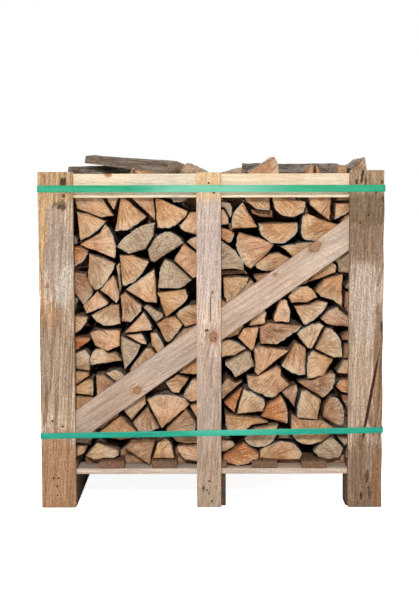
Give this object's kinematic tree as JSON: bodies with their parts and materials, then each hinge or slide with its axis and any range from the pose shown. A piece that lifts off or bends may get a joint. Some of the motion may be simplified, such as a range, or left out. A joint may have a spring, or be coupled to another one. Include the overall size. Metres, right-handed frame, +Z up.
{
  "type": "crated stack of split firewood",
  "caption": "Split firewood logs stacked end-on in an open board crate on runners, held by two flat green straps, with loose logs lying on top.",
  "frame": {"origin": "middle of the footprint, on the ground", "axes": "+Z up, -Y towards the front side that the log ends face, +X to the right seen from the front"},
  "size_m": [1.0572, 1.057, 1.0956],
  "materials": {
    "post_wood": "rough sawn, weathered tan",
    "rail_wood": "rough sawn, pale new softwood",
    "brace_wood": "rough sawn, pinkish beige",
    "base_wood": "rough sawn, pale grey",
    "strap_plastic": "glossy teal green strapping",
    "log_wood": "split and sawn faces, peach to grey",
    "log_bark": "thin rough grey-brown bark",
    "nail_steel": "dull, slightly rusted"
  },
  "bodies": {
    "root": {"back_brace": "brace_wood", "back_post_centre": "post_wood", "back_post_left": "post_wood", "back_post_right": "post_wood", "back_rail": "rail_wood", "bearer_back": "base_wood", "bearer_front": "base_wood", "bearer_middle": "base_wood", "block_right_back": "base_wood", "block_right_front": "base_wood", "block_right_middle": "base_wood", "front_brace": "brace_wood", "front_post_centre": "post_wood", "front_post_left": "post_wood", "front_post_right": "post_wood", "front_rail": "rail_wood", "left_brace": "brace_wood", "left_post_centre": "post_wood", "left_post_left": "post_wood", "left_post_right": "post_wood", "left_rail": "rail_wood", "log_row_back": "log_wood", "log_row_front": "log_wood", "log_row_middle": "log_wood", "right_brace": "brace_wood", "right_post_centre": "post_wood", "right_post_left": "post_wood", "right_post_right": "post_wood", "right_rail": "rail_wood", "runner_centre": "base_wood", "runner_left": "base_wood", "slat_1": "base_wood", "slat_2": "base_wood", "slat_3": "base_wood", "slat_4": "base_wood", "slat_5": "base_wood", "slat_6": "base_wood", "slat_7": "base_wood", "strap_lower": "strap_plastic", "strap_upper": "strap_plastic", "top_log_bark_left": "log_bark", "top_log_bark_right": "log_bark", "top_log_brown_half": "log_wood", "top_log_corner_wedge": "log_wood", "top_log_dark_wedge": "log_bark", "top_log_flat_split": "log_wood", "top_log_pale_stub": "log_wood", "top_log_peaked_split": "log_wood", "top_log_small_wedge_left": "log_wood", "top_log_small_wedge_right": "log_wood", "top_log_split_over": "log_wood", "top_log_thin_wedge": "log_wood"}
  },
  "joints": []
}
